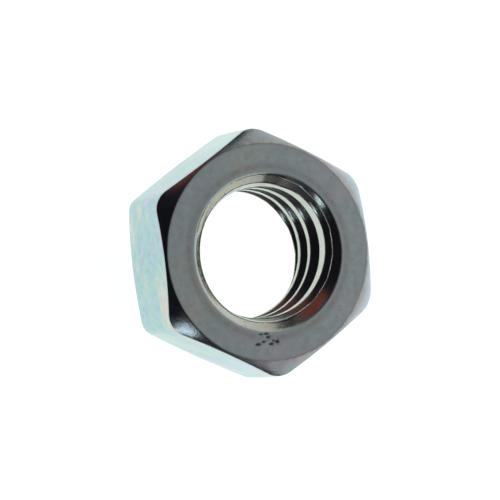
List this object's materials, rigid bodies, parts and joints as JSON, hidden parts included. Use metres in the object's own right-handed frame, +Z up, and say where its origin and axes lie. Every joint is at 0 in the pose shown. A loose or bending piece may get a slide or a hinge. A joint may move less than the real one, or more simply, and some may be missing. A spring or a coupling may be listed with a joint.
{
  "type": "hex nut",
  "caption": "Thin hexagon nut with chamfered corners, countersunk ends and a right-hand metric thread.",
  "frame": {"origin": "centre of the lower bearing face, on the axis of the thread, with the nut lying flat", "axes": "+Z up along the axis of the thread, out of the upper bearing face; X square to two of the six flats; Y through two opposite corners"},
  "size_m": [0.014, 0.0158, 0.006],
  "materials": {
    "zinc_plate": "bright zinc plate on steel with a clear blue passivate"
  },
  "bodies": {
    "root": {"hex_nut": "zinc_plate"}
  },
  "joints": []
}
